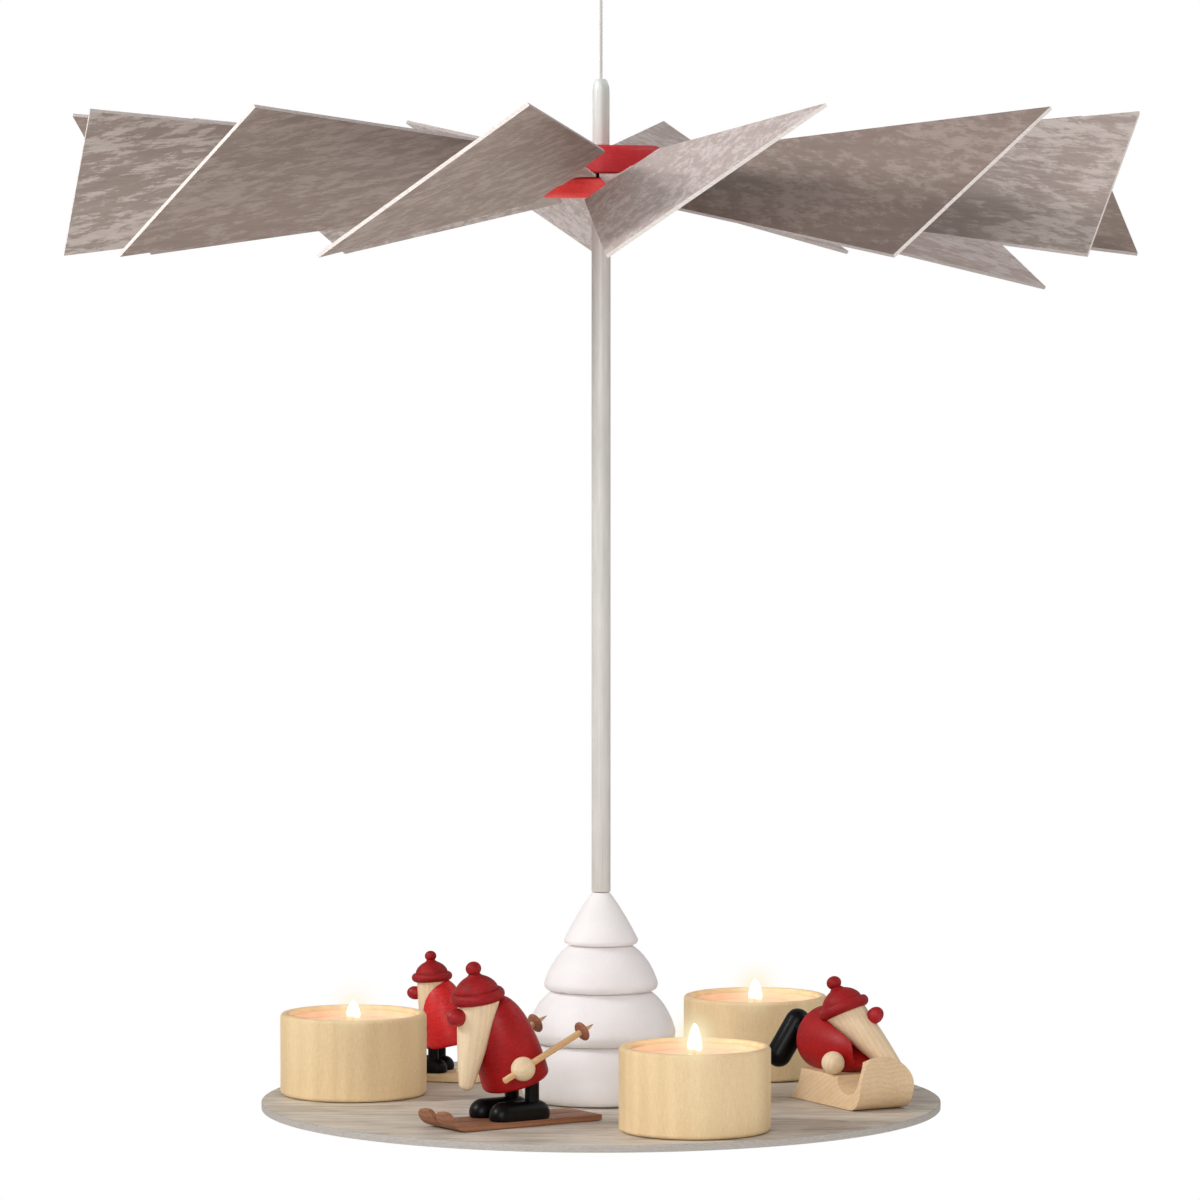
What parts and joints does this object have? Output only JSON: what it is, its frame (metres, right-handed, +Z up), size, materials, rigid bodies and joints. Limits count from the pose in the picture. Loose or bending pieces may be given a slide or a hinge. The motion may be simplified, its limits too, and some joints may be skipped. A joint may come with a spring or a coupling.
{
  "type": "hanging christmas pyramid",
  "caption": "Hanging candle pyramid: a slim rod on a cord carries a wheel of pitched wooden blades above a turned tree, tea lights and small winter figures on a round plate.",
  "frame": {"origin": "the point in the hanging eye where a ceiling hook bears", "axes": "+Z up along the cord and the rod, -Y towards the viewer of the picture, +X to the viewer's right"},
  "size_m": [0.5078, 0.5078, 0.5557],
  "materials": {
    "steel": "satin",
    "cord": "twisted",
    "rod": "satin",
    "hub_red": "stained satin",
    "blade_grey": "stained matte veneer",
    "tree_white": "matte lacquer",
    "plate_grey": "stained matte veneer",
    "pale_wood": "oiled",
    "cup": "translucent",
    "wax": "wax",
    "coat_red": "stained satin",
    "hat_red": "stained matte",
    "boot_black": "stained satin",
    "ski_brown": "oiled",
    "sled_beech": "oiled"
  },
  "bodies": {
    "suspension": {"hanging_eye": "steel", "hanging_cord": "cord", "cord_stop_ball": "steel"},
    "pyramid": {"upper_rod": "rod", "lower_rod": "rod", "plate": "plate_grey", "plate_screw": "steel", "hub_lower_disc": "hub_red", "hub_upper_disc": "hub_red", "blade_01": "blade_grey", "blade_02": "blade_grey", "blade_03": "blade_grey", "blade_04": "blade_grey", "blade_05": "blade_grey", "blade_06": "blade_grey", "blade_07": "blade_grey", "blade_08": "blade_grey", "blade_09": "blade_grey", "blade_10": "blade_grey", "blade_11": "blade_grey", "blade_12": "blade_grey", "tree_tier_1": "tree_white", "tree_tier_2": "tree_white", "tree_tier_3": "tree_white", "tree_tier_4": "tree_white", "candle_holder_1": "pale_wood", "candle_holder_2": "pale_wood", "candle_holder_3": "pale_wood", "skier_hat": "hat_red", "skier_head_beard": "pale_wood", "skier_nose": "hat_red", "skier_coat": "coat_red", "skier_boot_left": "boot_black", "skier_boot_right": "boot_black", "sledder_hat": "hat_red", "sledder_head_beard": "pale_wood", "sledder_nose": "hat_red", "sledder_coat": "coat_red", "sledder_boot_left": "boot_black", "sledder_boot_right": "boot_black", "rider_hat": "hat_red", "rider_head_beard": "pale_wood", "rider_nose": "hat_red", "rider_coat": "coat_red", "rider_boot_left": "boot_black", "rider_boot_right": "boot_black", "skier_pole_left": "pale_wood", "ski_left": "ski_brown", "sledder_hand_left": "pale_wood", "skier_pole_right": "pale_wood", "ski_right": "ski_brown", "sledder_hand_right": "pale_wood", "sled": "sled_beech", "rider_board": "pale_wood"},
    "tea_light_1": {"tea_light_cup_1": "cup", "candle_1": "wax"},
    "tea_light_2": {"tea_light_cup_2": "cup", "candle_2": "wax"},
    "tea_light_3": {"tea_light_cup_3": "cup", "candle_3": "wax"}
  },
  "joints": [
    {"name": "pyramid_spin", "type": "hinge", "parent": "suspension", "child": "pyramid", "pos_m": [0, 0, -0.0744], "axis": [0, 0, 1], "continuous": true},
    {"name": "tea_light_1_lift", "type": "slide", "parent": "pyramid", "child": "tea_light_1", "axis": [0, 0, 1], "range_m": [0, 0.06]},
    {"name": "tea_light_2_lift", "type": "slide", "parent": "pyramid", "child": "tea_light_2", "axis": [0, 0, 1], "range_m": [0, 0.06]},
    {"name": "tea_light_3_lift", "type": "slide", "parent": "pyramid", "child": "tea_light_3", "axis": [0, 0, 1], "range_m": [0, 0.06]}
  ]
}
